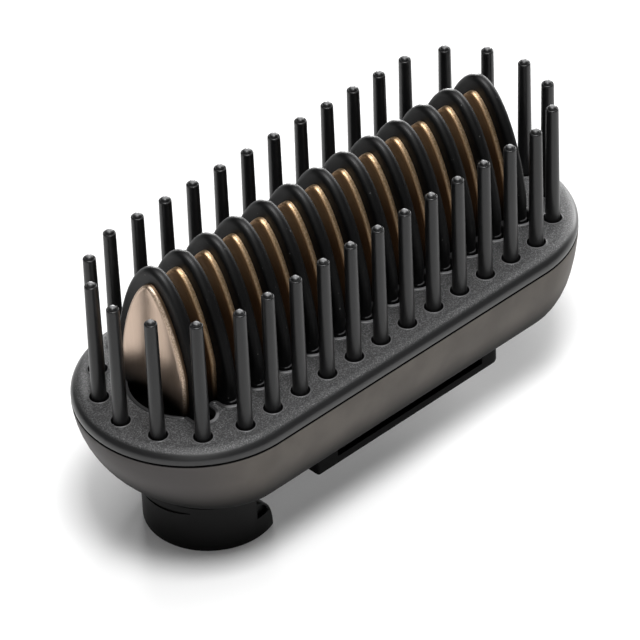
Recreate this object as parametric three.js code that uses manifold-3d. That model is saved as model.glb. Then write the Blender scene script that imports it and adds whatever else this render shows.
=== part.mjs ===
// Detachable brush head of a hot air styler, in millimetres, +Z up.
// X runs along the head, with the air collar under its -X end. The origin is on
// the plane of the collar's rim, under the middle of the housing.
// A boat-shaped lower shell carries a ladder rack. Thirteen arched guard fins stand
// in the rack, each with a bare metal plate on its -X face, and rise through the
// scalloped air slot of the top cover. Four combs carry the pins that ring them.

import * as THREE from 'three';
import { mergeVertices } from 'three/addons/utils/BufferGeometryUtils.js';
import Module from 'manifold-3d';

const wasm = await Module();
wasm.setup();

// Fits
const fitGap = 0.3;
const bondGap = 0.1;
const cutOverrun = 1;

// Pattern of fins and pins
const finPitch = 8;
const finCount = 13;
const rowPinCount = 12;
const endPinCount = 5;
const endPinStep = 26.7;
const pinRowOffset = 20.1;
const pinEndInset = 7.4;
const pinEndRadius = 20.6;

// Housing
const deckHeight = 38.3;
const housingHalfWidth = 26.5;
const housingEndInset = 7.8;
const seamDrop = 3.2;
const seamGap = 0.35;
const shellDepth = 18.6;
const shellWall = 2;
const rimWall = 1.7;
const sideTuck = 9.5;
const sideTuckPower = 3;
const endTuck = 13.2;
const endTuckPower = 1.4;

// Top cover
const coverThickness = 2;
const shoulderWidth = 2.2;
const tongueDepth = 4.4;
const tongueWall = 1.5;
const hookLength = 10;
const hookSpacing = 30;
const hookHeight = 0.8;
const hookReach = 0.7;
const hookDrop = 2.8;

// Air slot
const slotHalfWidth = 9.4;
const slotEndRadius = 12.8;
const slotEndGap = 6.8;
const notchHalfWidth = 2.8;
const notchReach = 14;
const slotChamfer = 0.7;

// Pins and the combs that carry them
const pinHoleRadius = 2.15;
const pinRootRadius = 1.7;
const pinTipRadius = 1.4;
const pinShoulderHeight = 29.5;
const pinDomeRadius = 1.12;
const pinDomeHeight = 1;
const combThickness = 2.2;
const combWidth = 5.4;
const combSplit = 4;

// Guard fins
const finThickness = 2.8;
const finOffset = -0.75;
const finHalfWidth = 13.5;
const finApexHeight = 33.4;
const finWidestHeight = 5;
const finArchPower = 1.95;
const finCrownPower = 1.45;
const finFootHalfWidth = 12.8;
const finFootFlare = 0.2;
const finFootHeight = 0.8;
const finRound = 1.25;

// Metal plates
const plateThickness = 1.4;
const plateHalfWidth = 9.65;
const plateApexHeight = 30.1;
const plateWidestHeight = 9.5;
const plateArchPower = 1.7;
const plateCrownPower = 1.3;
const plateFootHalfWidth = 8.05;
const plateFootDrop = 0.7;
const plateFlareHeight = 2;
const plateTangHalfWidth = 11.8;
const plateTangDrop = 2.6;
const plateRound = 1.1;

// Ladder rack
const rackPlateThickness = 2.2;
const rackWindowHalfWidth = 9.6;
const rackWindowEndGap = 5.4;
const rackRailWidth = 4.3;
const rackRailDepth = 3.4;
const pocketDepth = 4.3;
const postRadius = 3.2;
const postOffset = 11.75;
const postSpacing = 32;

// Screws
const screwHeadRadius = 2;
const screwHeadHeight = 1.4;
const screwShankRadius = 1;
const screwLength = 9;
const screwSocketRadius = 0.8;
const screwSocketDepth = 0.7;
const bossRadius = 4;
const bossHeight = 2;

// Air collar and the neck that it hangs from
const collarX = -37.5;
const neckRadius = 15.2;
const neckWall = 1.7;
const neckEndHeight = 12.2;
const collarRadius = 15;
const collarWall = 1.9;
const rimRound = 0.4;
const sleeveWall = 1.5;
const flangeRadius = 16.4;
const flangeThickness = 1.5;
const fingerLength = 5.4;
const fingerHeight = 9.3;
const recessHeight = 4.6;
const recessDepth = 0.8;

// Mount rail
const railCentre = 6.6;
const railLength = 56.6;
const railHalfWidth = 17.8;
const railDepth = 6.4;
const railCornerRadius = 2.6;
const railEdgeChamfer = 0.4;
const grooveInset = 6;
const grooveHeight = 4.3;
const grooveDepth = 2.6;
const pegRadius = 1.6;
const pegOffset = 8;
const pegSpacing = 46;
const pegProud = 1;

// Facets
const endFacets = 12;
const pinFacets = 8;
const boreFacets = 8;
const collarFacets = 32;
const archFacets = 14;

// Heights, measured from the collar's rim
const deckZ = deckHeight;
const coverUnderZ = deckZ - coverThickness;
const lipZ = deckZ - seamDrop;
const tongueZ = lipZ - tongueDepth;
const shellTopZ = lipZ - seamGap;
const shellBottomZ = shellTopZ - shellDepth;
const floorZ = shellBottomZ + shellWall;
const combTopZ = coverUnderZ - fitGap;
const combUnderZ = combTopZ - combThickness;
const rackTopZ = combUnderZ - fitGap;
const rackUnderZ = rackTopZ - rackPlateThickness;
const pocketFloorZ = rackTopZ - pocketDepth;
const footZ = pocketFloorZ + fitGap;
const bossTopZ = floorZ + bossHeight;
const postEndZ = bossTopZ + fitGap;
const railTopZ = shellBottomZ - fitGap;
const railUnderZ = railTopZ - railDepth;

// Places along the head
const lastFinX = (finCount - 1) / 2 * finPitch;
const endCentreX = lastFinX - housingEndInset;
const pinEndCentreX = lastFinX - pinEndInset;
const slotEndX = lastFinX + slotEndGap;
const slotEndCentreX = slotEndX - slotEndRadius;
const combSplitX = (rowPinCount - 1) / 2 * finPitch + combSplit;

// Places across the head
const tongueHalfWidth = housingHalfWidth - rimWall - fitGap;
const carrierHalfWidth = tongueHalfWidth - tongueWall - fitGap;
const finFrontX = finOffset - finThickness / 2;
const finBackX = finFrontX + finThickness;
const plateBackX = finFrontX - bondGap;
const plateFrontX = plateBackX - plateThickness;

const radians = THREE.MathUtils.degToRad;

// A closed mesh turned into a solid for joining and cutting.
function solidOf(geometry) {
  const bare = geometry.clone();
  bare.deleteAttribute('normal');
  bare.deleteAttribute('uv');
  const merged = mergeVertices(bare, 1e-4);
  const vertProperties = new Float32Array(merged.getAttribute('position').array);
  const triVerts = new Uint32Array(merged.getIndex().array);
  return new wasm.Manifold(new wasm.Mesh({ numProp: 3, vertProperties, triVerts }));
}

function geometryOf(solid) {
  const mesh = solid.getMesh();
  const geometry = new THREE.BufferGeometry();
  geometry.setAttribute('position', new THREE.BufferAttribute(mesh.vertProperties, mesh.numProp));
  geometry.setIndex(new THREE.BufferAttribute(mesh.triVerts, 1));
  geometry.computeVertexNormals();
  return geometry;
}

function unite(solids) {
  return solids.reduce((joined, solid) => joined.add(solid));
}

function cutAway(solid, cutters) {
  return cutters.reduce((rest, cutter) => rest.subtract(cutter), solid);
}

// Rings of equal point count become one closed skin. Each ring runs anticlockwise
// when it is seen from the end where the stack of rings finishes.
function loft(rings) {
  const count = rings[0].length;
  const positions = rings.flat().flatMap((point) => [point.x, point.y, point.z]);
  const index = [];
  for (let k = 0; k + 1 < rings.length; k += 1) {
    for (let i = 0; i < count; i += 1) {
      const a = k * count + i;
      const b = k * count + (i + 1) % count;
      index.push(a, b, b + count, a, b + count, a + count);
    }
  }
  index.push(...capFaces(rings[0], 0, true));
  index.push(...capFaces(rings.at(-1), (rings.length - 1) * count, false));
  const geometry = new THREE.BufferGeometry();
  geometry.setAttribute('position', new THREE.Float32BufferAttribute(positions, 3));
  geometry.setIndex(index);
  return geometry;
}

// Triangles that close one end of a loft, from the ring's own flat outline.
function capFaces(ring, offset, reversed) {
  const upright = ring.every((point) => Math.abs(point.x - ring[0].x) < 1e-9);
  const outline = ring.map((point) => (upright
    ? new THREE.Vector2(point.y, point.z)
    : new THREE.Vector2(point.x, point.y)));
  const faces = THREE.ShapeUtils.triangulateShape(outline, []);
  const clockwise = THREE.ShapeUtils.isClockWise(outline);
  return faces.flatMap(([a, b, c]) => {
    const edgeA = outline[b].clone().sub(outline[a]);
    const edgeB = outline[c].clone().sub(outline[a]);
    const turnsRight = edgeA.cross(edgeB) < 0;
    const flip = (turnsRight !== clockwise) !== reversed;
    return flip ? [a + offset, c + offset, b + offset] : [a + offset, b + offset, c + offset];
  });
}

// A long outline with straight sides and elliptical ends, all at one height.
function hullRing(halfWidth, endReach, z, centreX = endCentreX) {
  const ring = [];
  for (const side of [1, -1]) {
    for (let k = 0; k <= endFacets; k += 1) {
      const angle = Math.PI * (k / endFacets - 0.5);
      const x = side * (centreX + endReach * Math.cos(angle));
      ring.push(new THREE.Vector3(x, side * halfWidth * Math.sin(angle), z));
    }
  }
  return ring;
}

function stadiumSolid(halfWidth, lowZ, highZ, centreX = endCentreX) {
  const rings = [lowZ, highZ].map((z) => hullRing(halfWidth, halfWidth, z, centreX));
  return solidOf(loft(rings));
}

function boxSolid(lowX, highX, lowY, highY, lowZ, highZ) {
  const box = new THREE.BoxGeometry(highX - lowX, highY - lowY, highZ - lowZ);
  box.translate((lowX + highX) / 2, (lowY + highY) / 2, (lowZ + highZ) / 2);
  return solidOf(box);
}

function diskSolid(radius, x, y, lowZ, highZ, facets = boreFacets) {
  const disk = new THREE.CylinderGeometry(radius, radius, highZ - lowZ, facets);
  disk.rotateX(Math.PI / 2);
  disk.translate(x, y, (lowZ + highZ) / 2);
  return solidOf(disk);
}

function latheSolid(profile, x, y, facets) {
  const points = profile.map(([radius, z]) => new THREE.Vector2(radius, z));
  const lathe = new THREE.LatheGeometry(points, facets);
  lathe.rotateX(Math.PI / 2);
  lathe.translate(x, y, 0);
  return solidOf(lathe);
}

// Positions of the pins: two rows, and an arc round each end.
function rowPins(side) {
  const pins = [];
  for (let k = 0; k < rowPinCount; k += 1) {
    pins.push({ x: (k - (rowPinCount - 1) / 2) * finPitch, y: side * pinRowOffset });
  }
  return pins;
}

function endPins(side) {
  const pins = [];
  for (let k = 0; k < endPinCount; k += 1) {
    const angle = radians((k - (endPinCount - 1) / 2) * endPinStep);
    const x = side * (pinEndCentreX + pinEndRadius * Math.cos(angle));
    pins.push({ x, y: pinEndRadius * Math.sin(angle) });
  }
  return pins;
}

// Half width and end reach of the lower shell at a height, inset by a wall.
function shellSection(z, inset) {
  const bottomZ = shellBottomZ + inset;
  const depth = THREE.MathUtils.clamp((shellTopZ - z) / (shellTopZ - bottomZ), 0, 1);
  const sideDrop = sideTuck * (1 - Math.sqrt(1 - depth ** sideTuckPower));
  const endDrop = endTuck * (1 - Math.sqrt(1 - depth ** endTuckPower));
  return {
    halfWidth: housingHalfWidth - inset - sideDrop,
    endReach: housingHalfWidth - inset - endDrop,
  };
}

// The bowl's outer or inner form. Its rings crowd towards the floor, where it turns in.
function bowlSolid(inset, overrun) {
  const bottomZ = shellBottomZ + inset;
  const levels = [1, 0.985, 0.94, 0.86, 0.74, 0.56, 0.32, 0];
  const rings = levels.map((level) => {
    const z = shellTopZ - level * (shellTopZ - bottomZ);
    const section = shellSection(z, inset);
    return hullRing(section.halfWidth, section.endReach, z);
  });
  if (overrun > 0) {
    const top = housingHalfWidth - inset;
    rings.push(hullRing(top, top, shellTopZ + overrun));
  }
  return solidOf(loft(rings));
}

const postPlaces = [-1, 1].flatMap((end) => [-1, 1].map((side) => (
  { x: railCentre + end * postSpacing / 2, y: side * postOffset })));
const pegPlaces = [-1, 1].flatMap((end) => [-1, 1].map((side) => (
  { x: railCentre + end * pegSpacing / 2, y: side * pegOffset })));
const hookPlaces = [-1, 0, 1].flatMap((step) => [-1, 1].map((side) => (
  { x: step * hookSpacing, side })));

function hookSolid(place, clearance) {
  const inner = place.side * (tongueHalfWidth - 0.5);
  const outer = place.side * (tongueHalfWidth + hookReach + clearance);
  const centreZ = lipZ - hookDrop;
  return boxSolid(
    place.x - hookLength / 2 - clearance, place.x + hookLength / 2 + clearance,
    Math.min(inner, outer), Math.max(inner, outer),
    centreZ - hookHeight / 2 - clearance, centreZ + hookHeight / 2 + clearance,
  );
}

function lowerShell() {
  const bosses = postPlaces.map(({ x, y }) => (
    diskSolid(bossRadius, x, y, shellBottomZ + shellWall / 2, bossTopZ)));
  const walls = bowlSolid(0, 0).subtract(bowlSolid(shellWall, cutOverrun));
  const rimSeat = stadiumSolid(tongueHalfWidth + fitGap, tongueZ - fitGap, shellTopZ + cutOverrun);
  const neck = diskSolid(
    neckRadius, collarX, 0, neckEndHeight, shellBottomZ + shellWall / 2, collarFacets);
  const inletCut = diskSolid(
    neckRadius - neckWall, collarX, 0, neckEndHeight - cutOverrun, floorZ + cutOverrun, collarFacets);
  const screwHoles = postPlaces.map(({ x, y }) => (
    diskSolid(screwShankRadius + fitGap, x, y, shellBottomZ - cutOverrun, bossTopZ + cutOverrun)));
  const headSeats = postPlaces.map(({ x, y }) => diskSolid(
    screwHeadRadius + fitGap, x, y, shellBottomZ - cutOverrun,
    shellBottomZ + screwHeadHeight + fitGap));
  const pegHoles = pegPlaces.map(({ x, y }) => (
    diskSolid(pegRadius + fitGap, x, y, shellBottomZ - cutOverrun, floorZ + cutOverrun)));
  const catches = hookPlaces.map((place) => hookSolid(place, fitGap));
  return cutAway(unite([walls, neck, ...bosses]), [
    rimSeat, inletCut, ...screwHoles, ...headSeats, ...pegHoles, ...catches,
  ]);
}

// The air slot's outline, anticlockwise. It widens by the same amount all round, so
// the notches and the teeth between them keep their shared centres.
function slotRing(grow, z) {
  const notchRadius = notchHalfWidth + grow;
  const notchCentreY = notchReach - notchHalfWidth;
  const toothRadius = finPitch / 2 - notchHalfWidth - grow;
  const toothCentreY = slotHalfWidth + toothRadius + grow;
  const halfRow = [];
  for (let k = finCount - 1; k >= 0; k -= 1) {
    const x = (k - (finCount - 1) / 2) * finPitch;
    for (let step = 0; step <= 4; step += 1) {
      const angle = Math.PI * step / 4;
      halfRow.push([x + notchRadius * Math.cos(angle), notchCentreY + notchRadius * Math.sin(angle)]);
    }
    for (let step = 0; step <= 2 && k > 0; step += 1) {
      const angle = Math.PI * step / 2;
      const toothX = x - finPitch / 2;
      halfRow.push([toothX + toothRadius * Math.cos(angle), toothCentreY - toothRadius * Math.sin(angle)]);
    }
  }
  const cornerX = lastFinX + notchHalfWidth + grow;
  const endRadius = slotEndRadius + grow;
  const cornerAngle = Math.acos((cornerX - slotEndCentreX) / endRadius);
  const endArc = [];
  for (let step = 0; step <= 8; step += 1) {
    const angle = cornerAngle * (step / 4 - 1);
    endArc.push([slotEndCentreX + endRadius * Math.cos(angle), endRadius * Math.sin(angle)]);
  }
  const half = [...endArc, ...halfRow];
  const whole = [...half, ...half.map(([x, y]) => [-x, -y])];
  return whole.map(([x, y]) => new THREE.Vector3(x, y, z));
}

function slotCutter() {
  return solidOf(loft([
    slotRing(0, coverUnderZ - cutOverrun),
    slotRing(0, deckZ - slotChamfer),
    slotRing(slotChamfer, deckZ),
    slotRing(slotChamfer, deckZ + cutOverrun),
  ]));
}

function topCover() {
  const flatHalfWidth = housingHalfWidth - shoulderWidth;
  const shoulder = [];
  for (let step = 0; step <= 4; step += 1) {
    const angle = Math.PI / 2 * step / 4;
    const halfWidth = flatHalfWidth + shoulderWidth * Math.cos(angle);
    shoulder.push(hullRing(halfWidth, halfWidth, lipZ + seamDrop * Math.sin(angle)));
  }
  const blank = solidOf(loft([
    hullRing(tongueHalfWidth, tongueHalfWidth, tongueZ),
    hullRing(tongueHalfWidth, tongueHalfWidth, lipZ),
    ...shoulder,
  ]));
  const cavity = stadiumSolid(tongueHalfWidth - tongueWall, tongueZ - cutOverrun, coverUnderZ);
  const pinHoles = [...rowPins(1), ...rowPins(-1), ...endPins(1), ...endPins(-1)].map(({ x, y }) => (
    diskSolid(pinHoleRadius, x, y, coverUnderZ - cutOverrun, deckZ + cutOverrun, boreFacets)));
  const hooks = hookPlaces.map((place) => hookSolid(place, 0));
  return unite([cutAway(blank, [cavity, slotCutter(), ...pinHoles]), ...hooks]);
}

function pinSolid({ x, y }) {
  const shoulderZ = deckZ + pinShoulderHeight;
  const profile = [
    [0, combUnderZ + combThickness / 2],
    [pinRootRadius, combUnderZ + combThickness / 2],
    [pinTipRadius, shoulderZ],
    [pinDomeRadius, shoulderZ],
    [pinDomeRadius * Math.cos(radians(50)), shoulderZ + pinDomeHeight * Math.sin(radians(50))],
    [0, shoulderZ + pinDomeHeight],
  ];
  return latheSolid(profile, x, y, pinFacets);
}

// The four combs are one ring of carrier, cut into two rows and two ends.
const carrierRing = stadiumSolid(carrierHalfWidth, combUnderZ, combTopZ)
  .subtract(stadiumSolid(carrierHalfWidth - combWidth, combUnderZ - cutOverrun, combTopZ + cutOverrun));

function pinComb(pins, lowX, highX, lowY, highY) {
  const region = boxSolid(lowX, highX, lowY, highY, combUnderZ - cutOverrun, combTopZ + cutOverrun);
  return unite([carrierRing.intersect(region), ...pins.map(pinSolid)]);
}

function rowComb(side) {
  const reach = combSplitX - fitGap / 2;
  const near = side > 0 ? 0 : -housingHalfWidth;
  return pinComb(rowPins(side), -reach, reach, near, near + housingHalfWidth);
}

function endComb(side) {
  const start = combSplitX + fitGap / 2;
  const lowX = side > 0 ? start : -start - housingHalfWidth;
  return pinComb(endPins(side), lowX, lowX + housingHalfWidth, -housingHalfWidth, housingHalfWidth);
}

// Outline of an arch at one depth through its thickness, inset from the full form.
function archRing(arch, x, inset) {
  const height = arch.apexZ - arch.widestZ - inset;
  const halfWidth = arch.halfWidth - inset;
  const half = [...arch.foot.map(([y, z]) => [y - inset, z])];
  for (let step = 0; step < archFacets / 2; step += 1) {
    const angle = Math.PI * step / archFacets;
    half.push([
      halfWidth * Math.cos(angle) ** (2 / arch.power),
      arch.widestZ + height * Math.sin(angle) ** (2 / arch.crownPower),
    ]);
  }
  const crown = [0, arch.widestZ + height];
  const whole = [...half, crown, ...half.toReversed().map(([y, z]) => [-y, z])];
  return whole.map(([y, z]) => new THREE.Vector3(x, y, z));
}

// Depths and insets that round both long edges of a fin.
function roundedStations(frontX, backX, round) {
  const stations = [];
  for (let step = 0; step <= 2; step += 1) {
    const angle = Math.PI / 2 * step / 2;
    stations.push([frontX + round * (1 - Math.cos(angle)), round * (1 - Math.sin(angle))]);
  }
  const mirrored = stations.toReversed().map(([x, inset]) => [frontX + backX - x, inset]);
  return [...stations.map(([x, inset]) => [x, inset]), ...mirrored];
}

function guardFin() {
  const arch = {
    apexZ: deckZ + finApexHeight,
    widestZ: deckZ + finWidestHeight,
    halfWidth: finHalfWidth,
    power: finArchPower,
    crownPower: finCrownPower,
    foot: [[finFootHalfWidth, footZ + 1]],
  };
  const stations = roundedStations(finFrontX, finBackX, finRound);
  const blade = solidOf(loft(stations.map(([x, inset]) => archRing(arch, x, inset))));
  const halfThickness = finThickness / 2 + finFootFlare / 2;
  const centreX = finFrontX + halfThickness;
  const footRings = [footZ, deckZ + finFootHeight].map((z) => {
    const ring = [];
    for (const side of [1, -1]) {
      for (let step = 0; step <= 4; step += 1) {
        const angle = Math.PI * step / 4;
        const reach = finFootHalfWidth + finFootFlare - halfThickness;
        ring.push(new THREE.Vector3(
          centreX + side * halfThickness * Math.cos(angle),
          side * (reach + halfThickness * Math.sin(angle)), z));
      }
    }
    return ring;
  });
  return blade.add(solidOf(loft(footRings)));
}

function metalPlate() {
  const tangZ = deckZ - plateTangDrop;
  const arch = {
    apexZ: deckZ + plateApexHeight,
    widestZ: deckZ + plateWidestHeight,
    halfWidth: plateHalfWidth,
    power: plateArchPower,
    crownPower: plateCrownPower,
    foot: [
      [plateTangHalfWidth, footZ],
      [plateTangHalfWidth, tangZ],
      [plateFootHalfWidth, tangZ],
      [plateFootHalfWidth, deckZ - plateFootDrop],
      [plateHalfWidth, deckZ + plateFlareHeight],
    ],
  };
  return solidOf(loft([
    archRing(arch, plateFrontX, plateRound),
    archRing(arch, plateFrontX + plateRound, 0),
    archRing(arch, plateBackX, 0),
  ]));
}

function finRack() {
  const plate = stadiumSolid(carrierHalfWidth, rackUnderZ, rackTopZ);
  const railReach = lastFinX + rackWindowEndGap;
  const rails = [1, -1].map((side) => {
    const inner = side * rackWindowHalfWidth;
    const outer = side * (rackWindowHalfWidth + rackRailWidth);
    return boxSolid(-railReach, railReach, Math.min(inner, outer), Math.max(inner, outer),
      rackUnderZ - rackRailDepth, rackTopZ - rackPlateThickness / 2);
  });
  const posts = postPlaces.map(({ x, y }) => (
    diskSolid(postRadius, x, y, postEndZ, rackTopZ - rackPlateThickness / 2)));
  const window = stadiumSolid(rackWindowHalfWidth, postEndZ - cutOverrun, rackTopZ + cutOverrun,
    lastFinX + rackWindowEndGap - rackWindowHalfWidth);
  const pockets = [];
  for (let k = 0; k < finCount; k += 1) {
    const x = (k - (finCount - 1) / 2) * finPitch;
    const reach = finFootHalfWidth + finFootFlare + fitGap;
    pockets.push(boxSolid(x + plateFrontX - fitGap, x + finBackX + finFootFlare + fitGap,
      -reach, reach, pocketFloorZ, rackTopZ + cutOverrun));
  }
  const screwBores = postPlaces.map(({ x, y }) => (
    diskSolid(screwShankRadius + fitGap, x, y, postEndZ - cutOverrun,
      shellBottomZ + screwHeadHeight + screwLength + fitGap)));
  return cutAway(unite([plate, ...rails, ...posts]), [window, ...pockets, ...screwBores]);
}

function rackScrew({ x, y }) {
  const headTopZ = shellBottomZ + screwHeadHeight;
  const profile = [
    [0, shellBottomZ + screwSocketDepth],
    [screwSocketRadius, shellBottomZ + screwSocketDepth],
    [screwSocketRadius, shellBottomZ],
    [screwHeadRadius, shellBottomZ],
    [screwHeadRadius, headTopZ],
    [screwShankRadius, headTopZ],
    [screwShankRadius, headTopZ + screwLength - screwShankRadius],
    [0, headTopZ + screwLength],
  ];
  return latheSolid(profile, x, y, boreFacets);
}

// Side view of what is cut from the collar beyond its half round: all but two low
// fingers, whose tops fall in a quarter ellipse to the rim.
function mouthCutter() {
  const outline = new THREE.Shape();
  outline.moveTo(collarX, neckEndHeight);
  outline.lineTo(collarX, fingerHeight);
  outline.absellipse(collarX, 0, fingerLength, fingerHeight, Math.PI / 2, 0, true);
  outline.lineTo(collarX + fingerLength, -cutOverrun);
  outline.lineTo(collarX + collarRadius + cutOverrun, -cutOverrun);
  outline.lineTo(collarX + collarRadius + cutOverrun, neckEndHeight);
  outline.closePath();
  const span = 2 * (collarRadius + cutOverrun);
  const prism = new THREE.ExtrudeGeometry(outline, { depth: span, bevelEnabled: false, curveSegments: 6 });
  prism.rotateX(Math.PI / 2);
  prism.translate(0, span / 2, 0);
  return solidOf(prism);
}

// The collar's lower part takes the handle's nozzle. Its thinner sleeve passes up
// through the neck of the shell and ends in a flange that rests on the shell's floor.
function inletCollar() {
  const bore = collarRadius - collarWall;
  const sleeveRadius = neckRadius - neckWall - fitGap;
  const sleeveBore = sleeveRadius - sleeveWall;
  const shoulderZ = neckEndHeight - fitGap;
  const flangeZ = floorZ + fitGap;
  const tube = latheSolid([
    [bore, 0],
    [collarRadius - rimRound, 0],
    [collarRadius, rimRound],
    [collarRadius, shoulderZ],
    [sleeveRadius, shoulderZ],
    [sleeveRadius, flangeZ + flangeThickness / 2],
    [sleeveBore, flangeZ + flangeThickness / 2],
    [sleeveBore, shoulderZ - collarWall],
    [bore, shoulderZ - collarWall],
    [bore, 0],
  ], collarX, 0, collarFacets);
  const flange = diskSolid(flangeRadius, collarX, 0, flangeZ, flangeZ + flangeThickness, collarFacets)
    .subtract(diskSolid(sleeveBore, collarX, 0, flangeZ - cutOverrun, flangeZ + 2 * flangeThickness,
      collarFacets))
    .intersect(bowlSolid(shellWall + fitGap, cutOverrun));
  const recess = boxSolid(collarX, collarX + fingerLength, -collarRadius, collarRadius,
    recessHeight, fingerHeight + cutOverrun)
    .subtract(diskSolid(collarRadius - recessDepth, collarX, 0, 0, neckEndHeight, collarFacets));
  return cutAway(unite([tube, flange]), [mouthCutter(), recess]);
}

// A plan outline with rounded corners, for the rail.
function railRing(inset, z) {
  const halfLength = railLength / 2 - inset;
  const halfWidth = railHalfWidth - inset;
  const radius = railCornerRadius;
  const ring = [];
  [[1, -1], [1, 1], [-1, 1], [-1, -1]].forEach(([signX, signY], corner) => {
    for (let step = 0; step <= 3; step += 1) {
      const angle = Math.PI / 2 * (corner - 1 + step / 3);
      const x = railCentre + signX * (halfLength - radius) + radius * Math.cos(angle);
      ring.push(new THREE.Vector3(x, signY * (halfWidth - radius) + radius * Math.sin(angle), z));
    }
  });
  return ring;
}

function mountRail() {
  const block = solidOf(loft([
    railRing(railEdgeChamfer, railUnderZ),
    railRing(0, railUnderZ + railEdgeChamfer),
    railRing(0, railTopZ),
  ]));
  const grooves = [1, -1].map((side) => {
    const inner = side * (railHalfWidth - grooveDepth);
    const outer = side * (railHalfWidth + cutOverrun);
    return boxSolid(
      railCentre - railLength / 2 + grooveInset, railCentre + railLength / 2 - grooveInset,
      Math.min(inner, outer), Math.max(inner, outer), railTopZ - grooveHeight, railTopZ + cutOverrun);
  });
  const pegs = pegPlaces.map(({ x, y }) => (
    diskSolid(pegRadius, x, y, railTopZ - cutOverrun, floorZ + pegProud)));
  return unite([cutAway(block, grooves), ...pegs]);
}

const blackSatin = { color: 0x1b1b1d, roughness: 0.45, metalness: 0 };
const blackTextured = { color: 0x1f1f21, roughness: 0.6, metalness: 0 };
const blackSoft = { color: 0x141415, roughness: 0.7, metalness: 0 };
const gunmetal = { color: 0x45413e, roughness: 0.4, metalness: 0.3 };
const champagne = { color: 0xb5957a, roughness: 0.3, metalness: 1 };
const steel = { color: 0x9a9a9a, roughness: 0.35, metalness: 1 };
const darkFrame = { color: 0x101011, roughness: 0.65, metalness: 0 };

const head = new THREE.Group();

function place(name, solid, look, x = 0) {
  const mesh = new THREE.Mesh(geometryOf(solid), new THREE.MeshStandardMaterial(look));
  mesh.name = name;
  mesh.position.x = x;
  head.add(mesh);
}

place('lower_shell', lowerShell(), gunmetal);
place('top_cover', topCover(), blackTextured);
place('front_pin_comb', rowComb(-1), blackSatin);
place('rear_pin_comb', rowComb(1), blackSatin);
place('left_pin_comb', endComb(-1), blackSatin);
place('right_pin_comb', endComb(1), blackSatin);
place('fin_rack', finRack(), darkFrame);
place('inlet_collar', inletCollar(), blackSatin);
place('mount_rail', mountRail(), blackSatin);
postPlaces.forEach((post, k) => place(`rack_screw_${k + 1}`, rackScrew(post), steel));

const fin = guardFin();
const plate = metalPlate();
for (let k = 0; k < finCount; k += 1) {
  const number = String(k + 1).padStart(2, '0');
  const x = (k - (finCount - 1) / 2) * finPitch;
  place(`guard_fin_${number}`, fin, blackSoft, x);
  place(`heat_plate_${number}`, plate, champagne, x);
}

export default head;
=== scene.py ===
import math

import bmesh
import bpy
from mathutils import Matrix, Vector


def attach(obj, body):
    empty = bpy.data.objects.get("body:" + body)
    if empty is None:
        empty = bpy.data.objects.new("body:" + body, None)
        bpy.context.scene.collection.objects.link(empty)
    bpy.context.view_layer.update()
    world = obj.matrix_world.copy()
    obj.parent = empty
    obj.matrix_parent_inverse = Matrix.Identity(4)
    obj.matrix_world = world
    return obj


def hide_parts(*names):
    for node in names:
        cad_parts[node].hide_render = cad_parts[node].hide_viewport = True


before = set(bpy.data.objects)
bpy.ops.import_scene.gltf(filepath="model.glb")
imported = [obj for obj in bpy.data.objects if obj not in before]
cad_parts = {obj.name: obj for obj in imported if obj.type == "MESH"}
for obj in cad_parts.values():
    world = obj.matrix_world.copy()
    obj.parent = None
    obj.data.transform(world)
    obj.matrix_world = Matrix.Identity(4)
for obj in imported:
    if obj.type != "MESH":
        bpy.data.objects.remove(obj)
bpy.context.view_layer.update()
print("frame loaded")

# Sizes shared by the pieces, in millimetres and degrees
head = {
    'deck': 38.3, 'halfWidth': 26.5, 'endCentre': 40.2, 'lip': 35.1,
    'finPitch': 8, 'finCount': 13, 'rowPins': 12, 'endPins': 5,
    'past': 1,  # how far a cutting tool reaches past what it cuts
    'merge': 0.002,  # points closer than this become one
    'hair': 0.001,  # places closer than this count as the same
    'smoothAngle': 32,
}
facets = {'boat': 96, 'collar': 72, 'hole': 28, 'pin': 24, 'drill': 20}


def mm(*values):
    scaled = tuple(value / 1000 for value in values)
    return scaled if len(scaled) > 1 else scaled[0]


def shares(steps):
    return [step / steps for step in range(steps + 1)]


# Selecting and finishing

def clearSelection():
    if bpy.context.object and bpy.context.object.mode == 'EDIT':
        bpy.ops.object.mode_set(mode='OBJECT')
    bpy.ops.object.select_all(action='DESELECT')


def choose(*pieces):
    clearSelection()
    for piece in pieces:
        piece.select_set(True)
    bpy.context.view_layer.objects.active = pieces[0]


def openPiece(name):
    piece = bpy.context.object
    piece.name = name
    piece.data.name = name
    bpy.ops.object.transform_apply(location=True, rotation=True, scale=True)
    bpy.ops.object.mode_set(mode='EDIT')
    return piece


def reopen(piece):
    choose(piece)
    bpy.ops.object.mode_set(mode='EDIT')


def pick(kind, test):
    bpy.ops.mesh.select_mode(type={'verts': 'VERT', 'edges': 'EDGE'}[kind])
    bpy.ops.mesh.select_all(action='DESELECT')
    sheet = bmesh.from_edit_mesh(bpy.context.object.data)
    for item in getattr(sheet, kind):
        if test(item):
            item.select_set(True)
    sheet.select_flush_mode()
    bmesh.update_edit_mesh(bpy.context.object.data)


def ends(edge, axis):
    return [getattr(vert.co, axis) * 1000 for vert in edge.verts]


def endsAt(edge, axis, place):
    return all(abs(end - place) < head['hair'] for end in ends(edge, axis))


def softenEdges(test, width, steps):
    pick('edges', test)
    bpy.ops.mesh.bevel(offset=mm(width), segments=steps, profile=0.5, affect='EDGES', clamp_overlap=True)


def closePiece(piece):
    bpy.ops.mesh.select_all(action='SELECT')
    bpy.ops.mesh.remove_doubles(threshold=mm(head['merge']))
    bpy.ops.mesh.normals_make_consistent(inside=False)
    bpy.ops.object.mode_set(mode='OBJECT')
    return piece


def smooth(piece, degrees=head['smoothAngle']):
    choose(piece)
    bpy.ops.object.shade_smooth_by_angle(angle=math.radians(degrees))
    return piece


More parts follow.
